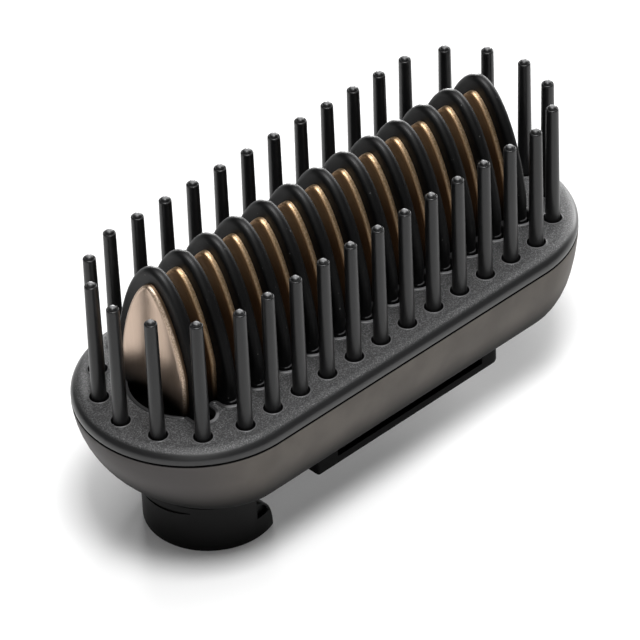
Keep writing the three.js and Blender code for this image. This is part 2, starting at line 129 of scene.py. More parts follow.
def carve(piece, tool, operation='DIFFERENCE'):
    choose(piece)
    cut = piece.modifiers.new('cut', 'BOOLEAN')
    cut.operation = operation
    cut.object = tool
    cut.solver = 'EXACT'
    bpy.ops.object.modifier_apply(modifier=cut.name)
    bpy.data.objects.remove(tool)
    return piece


def gather(name, pieces):
    choose(*pieces)
    if len(pieces) > 1:
        bpy.ops.object.join()
    bpy.context.object.name = name
    bpy.context.object.data.name = name
    return bpy.context.object


def spread(name, master, places):
    copies = []
    for x, y in places:
        choose(master)
        bpy.ops.object.duplicate()
        bpy.ops.transform.translate(value=mm(x, y, 0))
        copies.append(bpy.context.object)
    joined = gather(name, copies)
    bpy.ops.object.transform_apply(location=True)
    return joined


# Basic forms: turned, boat-like and cut from a flat outline

def turned(name, profile, place=(0, 0), sides=facets['collar'], hollow=False):
    clearSelection()
    radius, height = profile[0]
    bpy.ops.mesh.primitive_circle_add(
        vertices=sides, radius=mm(radius), location=mm(*place, height),
        fill_type='NOTHING' if hollow else 'NGON')
    piece = openPiece(name)
    for nextRadius, nextHeight in profile[1:] + (profile[:1] if hollow else []):
        bpy.ops.mesh.extrude_region_move(TRANSFORM_OT_translate={'value': mm(0, 0, nextHeight - height)})
        ratio = nextRadius / radius
        bpy.ops.transform.resize(value=(ratio, ratio, 1), center_override=mm(*place, nextHeight))
        radius, height = nextRadius, nextHeight
    return closePiece(piece)


def boatForm(name, levels):
    # rings of a width across, a reach at the ends and a height, pulled apart to the two end centres
    clearSelection()
    width, reach, height = levels[0]
    bpy.ops.mesh.primitive_circle_add(
        vertices=facets['boat'], radius=mm(width), location=mm(0, 0, height),
        rotation=(0, 0, math.pi / facets['boat']), fill_type='NGON')
    piece = openPiece(name)
    bpy.ops.transform.resize(value=(reach / width, 1, 1), center_override=mm(0, 0, height))
    for nextWidth, nextReach, nextHeight in levels[1:]:
        bpy.ops.mesh.extrude_region_move(TRANSFORM_OT_translate={'value': mm(0, 0, nextHeight - height)})
        bpy.ops.transform.resize(
            value=(nextReach / reach, nextWidth / width, 1), center_override=mm(0, 0, nextHeight))
        width, reach, height = nextWidth, nextReach, nextHeight
    for side in (1, -1):
        pick('verts', lambda vert: vert.co.x * side > 0)
        bpy.ops.transform.translate(value=mm(side * head['endCentre'], 0, 0))
    return closePiece(piece)


def stadiumBlock(name, width, low, high):
    return boatForm(name, [(width, width, low), (width, width, high)])


def block(name, low, high):
    clearSelection()
    middle = [(a + b) / 2 for a, b in zip(low, high)]
    bpy.ops.mesh.primitive_cube_add(size=1, location=mm(*middle))
    bpy.context.object.scale = mm(*[b - a for a, b in zip(low, high)])
    piece = openPiece(name)
    return closePiece(piece)


def outlined(name, points, depth):
    clearSelection()
    bpy.ops.mesh.primitive_circle_add(vertices=len(points), radius=1, fill_type='NGON')
    for vert, point in zip(bpy.context.object.data.vertices, points):
        vert.co = mm(*point)
    piece = openPiece(name)
    bpy.ops.mesh.select_all(action='SELECT')
    bpy.ops.mesh.extrude_region_move(TRANSFORM_OT_translate={'value': mm(*depth)})
    return closePiece(piece)


# Where the fins and the pins stand

finPlaces = [(k - (head['finCount'] - 1) / 2) * head['finPitch'] for k in range(head['finCount'])]
pins = {
    'rowOffset': 20.1, 'endInset': 7.4, 'endRadius': 20.6, 'endStep': 26.7,
    'rootRadius': 1.7, 'rootRise': 1.1, 'tipRadius': 1.4, 'shoulder': 29.8, 'smoothAngle': 75,
    # the grooved shoulder: steps in from the tip's radius and down from its top
    'tipCurve': ((-0.01, 0.36), (0.01, 0.22), (0.06, 0.12), (0.2, 0.01),
                 (0.24, 0), (0.29, 0.02), (0.35, 0.08)),
    'domeRadius': 1.0, 'domeHeight': 0.82, 'domeSink': 0.08, 'domeSteps': 8, 'domeStepAngle': 11,
    'combUnder': 33.8, 'combTop': 36, 'combReach': 22.7, 'combWidth': 5.4, 'combSplit': 48, 'combGap': 0.15,
    'regionLength': 80, 'regionWidth': 30, 'regionHeights': (30, 40),
}


def rowPinPlaces(side):
    return [((k - (head['rowPins'] - 1) / 2) * head['finPitch'], side * pins['rowOffset'])
            for k in range(head['rowPins'])]


def endPinPlaces(side):
    centre = finPlaces[-1] - pins['endInset']
    angles = [math.radians((k - (head['endPins'] - 1) / 2) * pins['endStep']) for k in range(head['endPins'])]
    return [(side * (centre + pins['endRadius'] * math.cos(angle)), pins['endRadius'] * math.sin(angle))
            for angle in angles]


# Lower shell
shell = {
    'top': 34.75, 'bottom': 16.15, 'wall': 2, 'rimWall': 1.7, 'rimDepth': 4.4, 'seatDrop': 0.3,
    'sideTuck': 9.5, 'sidePower': 3, 'endTuck': 13.2, 'endPower': 1.4, 'edgeRound': 0.25, 'edgeShare': 0.3,
    # shares of the height at which a ring is set, from the floor up
    'rings': (1, 0.995, 0.98, 0.955, 0.92, 0.87, 0.81, 0.74, 0.66, 0.56, 0.45, 0.33, 0.2, 0.08, 0),
    'neckX': -37.5, 'neckRadius': 15.08, 'neckWall': 1.6, 'neckEnd': 12.04, 'neckSink': 0.6,
    # the neck's lower edge: steps in from its radius and up from its end
    'neckCurve': ((1, 0), (0.1, 0), (0.03, 0.03), (0, 0.12)),
    'neckFillet': 1.2, 'filletSteps': 5,
    'bossRadius': 4, 'bossTop': 20.15, 'screwX': (-9.4, 22.6), 'screwY': 11.75,
    'counterbore': 2.3, 'counterboreTop': 17.85, 'screwHole': 1.3, 'screwHoleTop': 22,
    'pegX': (-16.4, 29.6), 'pegY': 8, 'pegHole': 1.9, 'pegHoleTop': 20, 'drillStart': 15,
}


def shellLevels(inset, overrun=0):
    bottom = shell['bottom'] + inset
    span = shell['top'] - bottom
    levels = []
    for share in shell['rings']:
        sideDrop = shell['sideTuck'] * (1 - math.sqrt(1 - share ** shell['sidePower']))
        endDrop = shell['endTuck'] * (1 - math.sqrt(1 - share ** shell['endPower']))
        width = head['halfWidth'] - inset - sideDrop
        reach = head['halfWidth'] - inset - endDrop
        levels.append((width, reach, shell['top'] - share * span))
    if overrun:
        levels.append((levels[-1][0], levels[-1][1], shell['top'] + overrun))
    return levels


def makeNeck():
    radius, fillet = shell['neckRadius'], shell['neckFillet']
    profile = [(radius - inset, shell['neckEnd'] + rise) for inset, rise in shell['neckCurve']]
    for share in shares(shell['filletSteps']):
        angle = math.pi / 2 * share
        profile.append((radius + fillet * (1 - math.cos(angle)),
                        shell['bottom'] - fillet + fillet * math.sin(angle)))
    profile.append((radius + fillet, shell['bottom'] + shell['neckSink']))
    return turned('neck', profile, (shell['neckX'], 0))


def makeBosses():
    radius, start = shell['bossRadius'], shell['bottom'] + shell['wall'] / 2
    profile = [(radius, start), (radius, shell['bossTop'])]
    return gather('bosses', [turned('boss', profile, (x, side * shell['screwY']), facets['drill'])
                             for x in shell['screwX'] for side in (1, -1)])


def makeDrills():
    start, seat = shell['drillStart'], shell['counterboreTop']
    screwProfile = [(shell['counterbore'], start), (shell['counterbore'], seat),
                    (shell['screwHole'], seat), (shell['screwHole'], shell['screwHoleTop'])]
    pegProfile = [(shell['pegHole'], start), (shell['pegHole'], shell['pegHoleTop'])]
    drills = []
    for side in (1, -1):
        for x in shell['screwX']:
            drills.append(turned('drill', screwProfile, (x, side * shell['screwY']), facets['drill']))
        for x in shell['pegX']:
            drills.append(turned('drill', pegProfile, (x, side * shell['pegY']), facets['drill']))
    return gather('drills', drills)


def makeShell():
    top, rim, past = shell['top'], shell['edgeRound'], head['past']
    levels = shellLevels(0)
    width = levels[-1][0]
    part = rim * shell['edgeShare']
    levels[-1] = (width, width, top - rim)
    levels += [(width - part, width - part, top - part), (width - rim, width - rim, top)]
    piece = boatForm('shellBody', levels)
    carve(piece, boatForm('hollow', shellLevels(shell['wall'], past)))
    seatLow = head['lip'] - shell['rimDepth'] - shell['seatDrop']
    carve(piece, stadiumBlock('rimSeat', head['halfWidth'] - shell['rimWall'], seatLow, top + past))
    carve(piece, makeNeck(), 'UNION')
    carve(piece, makeBosses(), 'UNION')
    bore = shell['neckRadius'] - shell['neckWall']
    inlet = [(bore, shell['neckEnd'] - past), (bore, shell['bottom'] + shell['wall'] + past)]
    carve(piece, turned('inlet', inlet, (shell['neckX'], 0)))
    carve(piece, makeDrills())
    return smooth(piece)


# Top cover: the deck with its scalloped air slot and the holes round the pins
cover = {
    'under': 36.3, 'tongueEnd': 30.7, 'tongueWidth': 24.5, 'tongueWall': 1.5,
    'slotWidth': 9.4, 'slotEnd': 54.8, 'slotEndRadius': 12.8, 'slotRound': 0.3, 'slotRoundSteps': 4,
    'notchWidth': 2.8, 'notchReach': 14, 'notchSteps': 12, 'toothSteps': 6, 'slotEndSteps': 24,
    'holeRadius': 2.15, 'holeRound': 0.09, 'holeRoundSteps': 3,
    'lipRoot': 0.4, 'slotLip': 0.75, 'slotLipRise': 0.3, 'slotLipRound': 0.28, 'slotLipSteps': 3,
    'holeLip': 0.42, 'holeLipRise': 0.15, 'lipFoot': 0.01,
    # the low bead round a pin hole: steps in from its edge and shares of its rise
    'holeLipCurve': ((0.12, 0.5), (0.24, 0.9), (0.32, 1)),
    'pickSlack': 0.03, 'steep': 0.5,
    'shoulder': [(26.35, 35.1), (26.46, 35.16), (26.5, 35.35), (26.5, 35.9), (26.44, 36.3), (26.28, 36.7),
                 (26.02, 37.08), (25.68, 37.42), (25.27, 37.72), (24.85, 37.96), (24.42, 38.14),
                 (23.98, 38.26), (23.5, 38.3)],
}


def slotOutline():
    notch, tooth = cover['notchWidth'], head['finPitch'] / 2 - cover['notchWidth']
    notchY, toothY = cover['notchReach'] - notch, cover['slotWidth'] + tooth
    row = []
    for number, x in enumerate(reversed(finPlaces)):
        for share in shares(cover['notchSteps']):
            angle = math.pi * share
            row.append((x + notch * math.cos(angle), notchY + notch * math.sin(angle)))
        if number < len(finPlaces) - 1:
            toothX = x - head['finPitch'] / 2
            for share in shares(cover['toothSteps']):
                angle = math.pi * share
                row.append((toothX + tooth * math.cos(angle), toothY - tooth * math.sin(angle)))
    endRadius = cover['slotEndRadius']
    endCentre = cover['slotEnd'] - endRadius
    corner = math.acos((finPlaces[-1] + notch - endCentre) / endRadius)
    arc = []
    for share in shares(cover['slotEndSteps']):
        angle = corner * (2 * share - 1)
        arc.append((endCentre + endRadius * math.cos(angle), endRadius * math.sin(angle)))
    half = arc + row
    return half + [(-x, -y) for x, y in half]


def makeSlotLip():
    # a low bead along the slot, wider than the slot by its own width
    root, top = head['deck'] - cover['lipRoot'], head['deck'] + cover['slotLipRise']
    outline = [Vector(point) for point in slotOutline()]
    wider = []
    for before, here, after in zip(outline[-1:] + outline, outline, outline[1:] + outline[:1]):
        out = Vector(((after - before).y, -(after - before).x)).normalized()
        wider.append((*(here + cover['slotLip'] * out), root))
    lip = outlined('slotLip', wider, (0, 0, top - root))
    reopen(lip)
    softenEdges(lambda edge: endsAt(edge, 'z', top), cover['slotLipRound'], cover['slotLipSteps'])
    bpy.ops.object.mode_set(mode='OBJECT')
    return lip


def makeHoleLips(places):
    deck, edge = head['deck'], cover['holeRadius'] + cover['holeLip']
    profile = [(edge, deck - cover['lipRoot']), (edge, deck - cover['lipFoot'])]
    profile += [(edge - inset, deck + share * cover['holeLipRise']) for inset, share in cover['holeLipCurve']]
    return gather('lips', [turned('lip', profile, place, facets['hole']) for place in places])


def makeCover():
    width, deck, past, slack = cover['tongueWidth'], head['deck'], head['past'], cover['pickSlack']
    levels = [(width, width, cover['tongueEnd']), (width, width, head['lip'])]
    levels += [(reach, reach, height) for reach, height in cover['shoulder']]
    piece = boatForm('coverDeck', levels)
    places = [place for side in (1, -1) for place in rowPinPlaces(side) + endPinPlaces(side)]
    radius = cover['holeRadius']
    carve(piece, makeHoleLips(places), 'UNION')
    carve(piece, makeSlotLip(), 'UNION')
    inner = width - cover['tongueWall']
    carve(piece, stadiumBlock('cavity', inner, cover['tongueEnd'] - past, cover['under']))
    floor = cover['under'] - past
    slot = slotOutline()
    carve(piece, outlined('slot', [(x, y, floor) for x, y in slot], (0, 0, deck + past - floor)))
    bore = [(radius, floor), (radius, deck + past)]
    carve(piece, gather('holes', [turned('hole', bore, place, facets['hole']) for place in places]))
    reopen(piece)

    def isNear(vert, x, y, distance):
        return abs(math.hypot(vert.co.x * 1000 - x, vert.co.y * 1000 - y) - distance) < slack

    def roundHole(edge):
        return endsAt(edge, 'z', deck + cover['holeLipRise']) and any(
            all(isNear(vert, x, y, radius) for vert in edge.verts) for x, y in places)

    def alongSlot(edge):
        if not endsAt(edge, 'z', deck + cover['slotLipRise']):
            return False
        if not any(abs(face.normal.z) < cover['steep'] for face in edge.link_faces):
            return False
        return all(any(isNear(vert, x, y, 0) for x, y in slot) for vert in edge.verts)

    softenEdges(roundHole, cover['holeRound'], cover['holeRoundSteps'])
    softenEdges(alongSlot, cover['slotRound'], cover['slotRoundSteps'])
    bpy.ops.object.mode_set(mode='OBJECT')
    return smooth(piece)


# Pins on the strips that carry them under the deck

def makePin():
    tip, end = head['deck'] + pins['shoulder'], pins['tipRadius']
    profile = [(pins['rootRadius'], pins['combUnder'] + pins['rootRise'])]
    profile += [(end - inset, tip - drop) for inset, drop in pins['tipCurve']]
    base = tip - pins['domeSink']
    profile.append((pins['domeRadius'], base))
    for step in range(1, pins['domeSteps'] + 1):
        angle = math.radians(pins['domeStepAngle'] * step)
        profile.append((pins['domeRadius'] * math.cos(angle), base + pins['domeHeight'] * math.sin(angle)))
    return smooth(turned('pinMaster', profile, (0, 0), facets['pin']), pins['smoothAngle'])


def makePins():
    master = makePin()
    combs = {}
    reach, past = pins['combReach'], head['past']
    near, far = pins['combSplit'] - pins['combGap'], pins['combSplit'] + pins['combGap']
    length, width = pins['regionLength'], pins['regionWidth']
    low, high = pins['regionHeights']
    for name, places, start, stop in (
            ('pinsFront', rowPinPlaces(-1), (-near, -width), (near, 0)),
            ('pinsRear', rowPinPlaces(1), (-near, 0), (near, width)),
            ('pinsLeft', endPinPlaces(-1), (-length, -width), (-far, width)),
            ('pinsRight', endPinPlaces(1), (far, -width), (length, width))):
        strip = stadiumBlock('strip', reach, pins['combUnder'], pins['combTop'])
        carve(strip, stadiumBlock('inside', reach - pins['combWidth'],
                                  pins['combUnder'] - past, pins['combTop'] + past))
        carve(strip, block('region', (*start, low), (*stop, high)), 'INTERSECT')
        smooth(strip)
        combs[name] = gather(name, [strip, spread('row', master, places)])
    bpy.data.objects.remove(master)
    return combs


# Guard fins and the metal plates on their faces
fin = {
    'front': -2.15, 'thick': 2.8, 'halfWidth': 13.5, 'apex': 33.4, 'widest': 5,
    'power': 1.95, 'crownPower': 1.45, 'round': 1.3, 'roundSteps': 6, 'roundFrom': 31,
    'foot': 29.5, 'footHalfWidth': 12.8, 'bladeFoot': 30.5,
    'flare': 0.2, 'flareReach': 0.7, 'flareTop': 0.95, 'flareSteps': 12,
    'flareRound': 0.25, 'flareRoundSteps': 2,
}
plate = {
    'front': -3.65, 'thick': 1.4, 'halfWidth': 9.65, 'apex': 30.1, 'widest': 9.5,
    'power': 1.7, 'crownPower': 1.3, 'round': 0.85, 'roundSteps': 5,
    'tangHalfWidth': 11.8, 'tangTop': 35.7, 'neckHalfWidth': 8.05, 'neckTop': 37.6, 'flareTop': 38.9,
}
arch = {'steps': 26, 'smoothAngle': 40}


def archOutline(form, foot):
    # a superellipse quarter on each side, from the widest level up to the crown
    top = form['apex'] - form['widest']
    side = list(foot)
    for share in shares(arch['steps'])[:-1]:
        angle = math.pi / 2 * share
        side.append((form['halfWidth'] * math.cos(angle) ** (2 / form['power']),
                     head['deck'] + form['widest'] + top * math.sin(angle) ** (2 / form['crownPower'])))
    crown = (0, head['deck'] + form['apex'])
    return [(form['front'], y, z) for y, z in side + [crown] + [(-y, z) for y, z in reversed(side)]]


def makeFinFoot():
    half = (fin['thick'] + fin['flare']) / 2
    centre = fin['front'] + fin['thick'] / 2
    reach = fin['footHalfWidth'] + fin['flareReach'] - half
    plan = []
    for side in (1, -1):
        for share in shares(fin['flareSteps']):
            angle = math.pi * share
            plan.append((centre + side * half * math.cos(angle), side * (reach + half * math.sin(angle)),
                         fin['foot']))
    top = head['deck'] + fin['flareTop']
    foot = outlined('foot', plan, (0, 0, top - fin['foot']))
    reopen(foot)
    softenEdges(lambda edge: endsAt(edge, 'z', top), fin['flareRound'], fin['flareRoundSteps'])
    bpy.ops.object.mode_set(mode='OBJECT')
    return foot


def makeFin():
    outline = archOutline(fin, [(fin['footHalfWidth'], fin['bladeFoot'])])
    piece = outlined('finMaster', outline, (fin['thick'], 0, 0))
    reopen(piece)

    def faceRim(edge):
        start, stop = ends(edge, 'x')
        return abs(start - stop) < head['hair'] and max(ends(edge, 'z')) > fin['roundFrom']

    softenEdges(faceRim, fin['round'], fin['roundSteps'])
    bpy.ops.object.mode_set(mode='OBJECT')
    carve(piece, makeFinFoot(), 'UNION')
    return smooth(piece, arch['smoothAngle'])


def makePlate():
    tang, hair = plate['tangTop'], head['hair']
    foot = [(plate['tangHalfWidth'], fin['foot']), (plate['tangHalfWidth'], tang),
            (plate['neckHalfWidth'], tang), (plate['neckHalfWidth'], plate['neckTop']),
            (plate['halfWidth'], plate['flareTop'])]
    piece = outlined('plateMaster', archOutline(plate, foot), (plate['thick'], 0, 0))
    reopen(piece)

    def frontRim(edge):
        heights = ends(edge, 'z')
        return endsAt(edge, 'x', plate['front']) and min(heights) > tang - hair and max(heights) > tang + hair

    softenEdges(frontRim, plate['round'], plate['roundSteps'])
    bpy.ops.object.mode_set(mode='OBJECT')
    return smooth(piece, arch['smoothAngle'])


# Air collar: a half-open tube with two low fingers, and a sleeve up through the neck
collar = {
    'x': -37.5, 'radius': 15, 'wall': 1.9, 'top': 11.97, 'topEdge': 0.1, 'boreTop': 10, 'boreEdge': 0.15,
    # the rounded rim: steps in from the radius and up from the rim's plane
    'rimCurve': ((0.4, 0), (0.18, 0.05), (0.05, 0.18), (0, 0.4)),
    'sleeveRadius': 13.2, 'sleeveBore': 11.7, 'sleeveOverlap': 0.5,
    'flangeRadius': 16.4, 'flangeLow': 18.45, 'flangeHigh': 19.95, 'flangeGap': 0.3,
    'fingerLength': 5.4, 'fingerHeight': 9.3, 'fingerSteps': 12, 'mouthRise': 0.3,
    'pocketLow': 5.3, 'pocketDepth': 1.15, 'pocketMargin': 0.4, 'pocketStep': 0.1, 'coreTop': 12,
    'flatAngle': 0.5, 'sharpAngle': 40, 'edgeRound': 0.22, 'edgeSteps': 2,
}
crescent = {
    'angle': 186, 'sweep': 50, 'low': 8.7, 'rise': 1.6, 'risePower': 0.7, 'depth': 0.35, 'width': 0.75,
    'start': 0.04, 'spread': 0.88, 'taper': 0.8, 'steps': 16, 'outside': 2, 'toolDepth': 9,
}


def makeCore(depth):
    radius = collar['radius'] - depth
    return turned('core', [(radius, 0), (radius, collar['coreTop'])], (collar['x'], 0))


def makeCrescent():
    # the thin line that runs round the collar's near end
    middle, half = math.radians(crescent['angle']), math.radians(crescent['sweep'] / 2)
    out = Vector((math.cos(middle), math.sin(middle), 0))
    along = Vector((-out.y, out.x, 0))
    upper, lower = [], []
    for share in shares(crescent['steps']):
        reach = collar['radius'] * math.sin(half * (2 * share - 1))
        level = crescent['low'] + crescent['rise'] * share ** crescent['risePower']
        swell = math.sin(math.pi * (crescent['start'] + crescent['spread'] * share)) ** crescent['taper']
        thick = crescent['width'] / 2 * swell
        spot = Vector((collar['x'], 0, 0)) + out * (collar['radius'] + crescent['outside']) + along * reach
        upper.append((spot.x, spot.y, level + thick))
        lower.append((spot.x, spot.y, level - thick))
    tool = outlined('crescent', upper + lower[::-1], tuple(-crescent['toolDepth'] * out))
    return carve(tool, makeCore(crescent['depth']))


def makeCollarTube():
    radius, top = collar['radius'], collar['top']
    bore, sleeve = radius - collar['wall'], collar['sleeveBore']
    sleeveTop = collar['flangeLow'] + collar['sleeveOverlap']
    profile = [(bore + collar['boreEdge'], 0)]
    profile += [(radius - inset, rise) for inset, rise in collar['rimCurve']]
    profile += [(radius, top - collar['topEdge']), (radius - collar['topEdge'], top),
                (collar['sleeveRadius'], top), (collar['sleeveRadius'], sleeveTop), (sleeve, sleeveTop),
                (sleeve, collar['boreTop']), (bore, collar['boreTop']), (bore, collar['boreEdge'])]
    return turned('collarTube', profile, (collar['x'], 0), hollow=True)


def makeMouth():
    x, length, height = collar['x'], collar['fingerLength'], collar['fingerHeight']
    reach, ceiling = collar['radius'] + head['past'], collar['top'] + collar['mouthRise']
    outline = [(x, ceiling), (x, height)]
    for share in shares(collar['fingerSteps'])[1:]:
        angle = math.pi / 2 * (1 - share)
        outline.append((x + length * math.cos(angle), height * math.sin(angle)))
    outline += [(x + length, -head['past']), (x + reach, -head['past']), (x + reach, ceiling)]
    return outlined('mouth', [(px, -reach, pz) for px, pz in outline], (0, 2 * reach, 0))


def makePocket(side):
    x, low = collar['x'], collar['pocketLow']
    length = collar['fingerLength'] - collar['pocketMargin']
    height = collar['fingerHeight'] - collar['pocketMargin']
    outline = [(x, low), (x + length, low)]
    for share in shares(collar['fingerSteps']):
        angle = math.pi / 2 * share
        if height * math.sin(angle) > low + collar['pocketStep']:
            outline.append((x + length * math.cos(angle), height * math.sin(angle)))
    outside = side * (collar['radius'] + head['past'])
    tool = outlined('pocket', [(px, outside, pz) for px, pz in outline], (0, -outside, 0))
    return carve(tool, makeCore(collar['pocketDepth']))


def makeFlange():
    bore, radius = collar['sleeveBore'], collar['flangeRadius']
    low, high = collar['flangeLow'], collar['flangeHigh']
    flange = turned('flange', [(bore, low), (radius, low), (radius, high), (bore, high)],
                    (collar['x'], 0), hollow=True)
    return carve(flange, boatForm('inside', shellLevels(shell['wall'] + collar['flangeGap'])), 'INTERSECT')


def makeCollar():
    piece = makeCollarTube()
    carve(piece, makeMouth())
    reopen(piece)
    bpy.ops.mesh.select_all(action='SELECT')
    bpy.ops.mesh.dissolve_limited(angle_limit=math.radians(collar['flatAngle']))

    def cutRim(edge):
        if len(edge.link_faces) != 2 or min(ends(edge, 'x')) < collar['x'] - head['hair']:
            return False
        if max(ends(edge, 'z')) > collar['top'] + collar['topEdge']:
            return False
        return edge.calc_face_angle() > math.radians(collar['sharpAngle'])

    softenEdges(cutRim, collar['edgeRound'], collar['edgeSteps'])
    bpy.ops.object.mode_set(mode='OBJECT')
    for side in (1, -1):
        carve(piece, makePocket(side))
    carve(piece, makeCrescent())
    carve(piece, makeFlange(), 'UNION')
    return smooth(piece)


# Rail that slides onto the handle
rail = {
    'low': (-21.7, -17.8, 9.45), 'high': (34.9, 17.8, 15.85), 'uprightLength': 3,
    'cornerRound': 2.6, 'cornerSteps': 7, 'nearCornerRound': 0.6, 'nearCornerSteps': 3,
    'edgeRound': 0.4, 'edgeSteps': 3, 'grooveInset': 6, 'grooveHeight': 4.3, 'grooveDepth': 2.6,
    'pegRadius': 1.6, 'pegEndRadius': 1.45, 'pegSide': 19, 'pegTop': 19.15,
}


def makeRail():
    lowX, under = rail['low'][0], rail['low'][2]
    highX, halfWidth, top = rail['high']
    past = head['past']
    piece = block('railBlock', rail['low'], rail['high'])
    reopen(piece)

    def upright(edge, end):
        start, stop = ends(edge, 'z')
        return abs(start - stop) > rail['uprightLength'] and ends(edge, 'x')[0] * end > 0

    softenEdges(lambda edge: upright(edge, 1), rail['cornerRound'], rail['cornerSteps'])
    softenEdges(lambda edge: upright(edge, -1), rail['nearCornerRound'], rail['nearCornerSteps'])
    softenEdges(lambda edge: endsAt(edge, 'z', under), rail['edgeRound'], rail['edgeSteps'])
    bpy.ops.object.mode_set(mode='OBJECT')
    inset = rail['grooveInset']
    for side in (1, -1):
        inner, outer = side * (halfWidth - rail['grooveDepth']), side * (halfWidth + past)
        carve(piece, block('groove', (lowX + inset, min(inner, outer), top - rail['grooveHeight']),
                           (highX - inset, max(inner, outer), top + past)))
    profile = [(rail['pegRadius'], top - past), (rail['pegRadius'], rail['pegSide']),
               (rail['pegEndRadius'], rail['pegTop'])]
    pegs = [turned('peg', profile, (x, side * shell['pegY']), facets['drill'])
            for x in shell['pegX'] for side in (1, -1)]
    carve(piece, gather('pegs', pegs), 'UNION')
    return smooth(piece)


class Wire:
    # one output of a shader node, on which sums can be written
    def __init__(self, finish, socket):
        self.finish = finish
        self.socket = socket

    def __add__(self, other):
        return self.finish.sum('ADD', self, other)

    def __sub__(self, other):
        return self.finish.sum('SUBTRACT', self, other)

    def __rsub__(self, other):
        return self.finish.sum('SUBTRACT', other, self)

    def __mul__(self, other):
        return self.finish.sum('MULTIPLY', self, other)

    __radd__ = __add__
    __rmul__ = __mul__

    def size(self):
        return self.finish.sum('ABSOLUTE', self, 0)

    def swing(self, amount):
        # a noise, centred on zero
        return amount * (self - 0.5)

    def rise(self, span):
        # 0 below a span, 1 above it
        return self.finish.node('ShaderNodeMapRange', {'interpolation_type': 'SMOOTHSTEP', 'clamp': True},
                                {'Value': self, 'From Min': span[0], 'From Max': span[1]}, 'Result')

    def across(self, span):
        # the same for a place, with the span in millimetres
        return self.rise(mm(*span))


class Finish:
    def __init__(self, name, color, **plain):
        self.material = bpy.data.materials.new(name)
        self.material.use_nodes = True
        self.tree = self.material.node_tree
        self.shader = self.tree.nodes['Principled BSDF']
        self.place = self.node('ShaderNodeTexCoord', {}, {}, 'Object')
        self.shader.inputs['Base Color'].default_value = (*color, 1)
        for socket, value in plain.items():
            self.shader.inputs[socket.replace('_', ' ')].default_value = value

    def node(self, kind, settings, sockets, output=0):
        made = self.tree.nodes.new(kind)
        for key, value in settings.items():
            setattr(made, key, value)
        for key, value in sockets.items():
            if isinstance(value, Wire):
                self.tree.links.new(value.socket, made.inputs[key])
            else:
                made.inputs[key].default_value = value
        return Wire(self, made.outputs[output])

    def sum(self, operation, first, second):
        return self.node('ShaderNodeMath', {'operation': operation}, {0: first, 1: second})

    def axes(self, names):
        split = self.node('ShaderNodeSeparateXYZ', {}, {'Vector': self.place}).socket.node
        return [Wire(self, split.outputs[name]) for name in names]

    def noise(self, size, detail=2, roughness=0.5, stretch=(1, 1, 1)):
        # size in millimetres
        place = self.place
        if stretch != (1, 1, 1):
            place = self.node('ShaderNodeMapping', {}, {'Vector': place, 'Scale': stretch})
        sockets = {'Vector': place, 'Scale': 1000 / size, 'Detail': detail, 'Roughness': roughness}
        return self.node('ShaderNodeTexNoise', {}, sockets, 'Fac')

    def blend(self, mask, first, second):
        colors = [value if isinstance(value, Wire) else (*value, 1) for value in (first, second)]
        return self.node('ShaderNodeMix', {'data_type': 'RGBA'}, {0: mask, 6: colors[0], 7: colors[1]}, 2)

    def relief(self, height, depth, strength):
        sockets = {'Height': height, 'Distance': mm(depth), 'Strength': strength}
        self.feed('Normal', self.node('ShaderNodeBump', {}, sockets, 'Normal'))

    def feed(self, socket, wire):
        self.tree.links.new(wire.socket, self.shader.inputs[socket])


# Finishes: sizes and heights are in millimetres, and a pair is the span over which something changes

def shellFinish():
    look = {
        'light': (0.13, 0.117, 0.105), 'deep': (0.104, 0.094, 0.085), 'cloudSize': 9, 'cloud': (0.3, 0.7),
        # painted shade: the near end of the shell is painted a little darker than its sides
        'end': (0.086, 0.08, 0.078), 'endReach': (-62, -44),
        # painted shade: the lower shell darkens to near black towards the neck, and the top rim is near black
        # where it meets the cover
        'low': (0.0035, 0.0035, 0.0035), 'bellyShade': (19.5, 29), 'rim': (34.5, 34.65),
        'roughness': 0.46, 'lowRoughness': 0.22, 'cloudRoughness': 0.05, 'fineRoughness': 0.06,
        'fineSize': 0.18, 'reliefDepth': 0.006, 'reliefStrength': 0.5,
    }
    finish = Finish('warmGreySatin', look['light'], Metallic=0.03, Roughness=look['roughness'],
                    Specular_IOR_Level=0.06)
    x, z = finish.axes('XZ')
    cloud = finish.noise(look['cloudSize'], detail=3)
    fine = finish.noise(look['fineSize'])
    paint = finish.blend(cloud.rise(look['cloud']), look['deep'], look['light'])
    # painted shade on the near end
    paint = finish.blend(x.across(look['endReach']), look['end'], paint)
    # painted shade below the belly span and at the top rim
    upper = z.across(look['bellyShade']) * (1 - z.across(look['rim']))
    finish.feed('Base Color', finish.blend(upper, look['low'], paint))
    finish.feed('Roughness', look['roughness'] + fine.swing(look['fineRoughness'])
                + cloud.swing(look['cloudRoughness']) + look['lowRoughness'] * (1 - upper))
    finish.relief(fine, look['reliefDepth'], look['reliefStrength'])
    return finish.material


